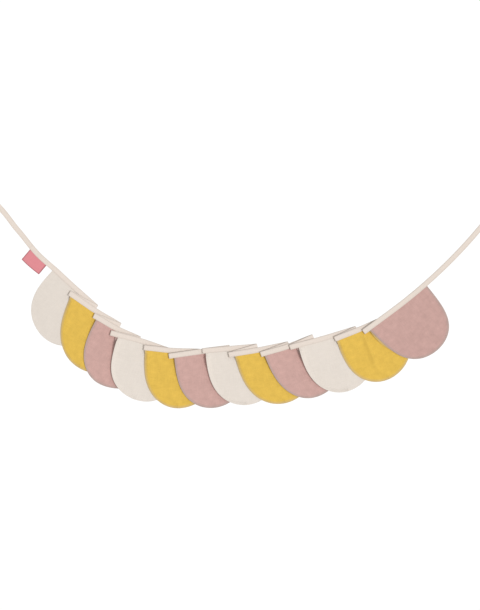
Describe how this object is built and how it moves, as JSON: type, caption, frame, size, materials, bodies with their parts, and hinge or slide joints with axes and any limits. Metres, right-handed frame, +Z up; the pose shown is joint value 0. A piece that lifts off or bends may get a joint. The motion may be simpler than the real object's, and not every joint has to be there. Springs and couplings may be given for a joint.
{
  "type": "linen garland",
  "caption": "Hanging bunting garland of half-round linen flags in cream, mustard and dusty pink, sewn into a folded binding tape that runs on as two ties.",
  "frame": {"origin": "top edge of the tape at the end of the left tie, in the middle of the tape's thickness", "axes": "+X from the left tie to the right tie, +Z up, the faces that show look along -Y"},
  "size_m": [1.0067, 0.0277, 0.4255],
  "materials": {
    "binding_tape": "matt off-white cotton binding tape, topstitched along its open edge",
    "coral_tab": "matt coral-pink woven tab, bare",
    "cream_linen": "matt cream linen with a fine plain weave",
    "yellow_linen": "matt mustard-yellow linen with a fine plain weave",
    "pink_linen": "matt dusty-pink linen with a fine plain weave"
  },
  "bodies": {
    "root": {"tape": "binding_tape", "label": "coral_tab", "flag_01": "cream_linen", "flag_02": "yellow_linen", "flag_03": "pink_linen", "flag_04": "cream_linen", "flag_05": "yellow_linen", "flag_06": "pink_linen", "flag_07": "cream_linen", "flag_08": "yellow_linen", "flag_09": "pink_linen", "flag_10": "cream_linen", "flag_11": "yellow_linen", "flag_12": "pink_linen"}
  },
  "joints": []
}
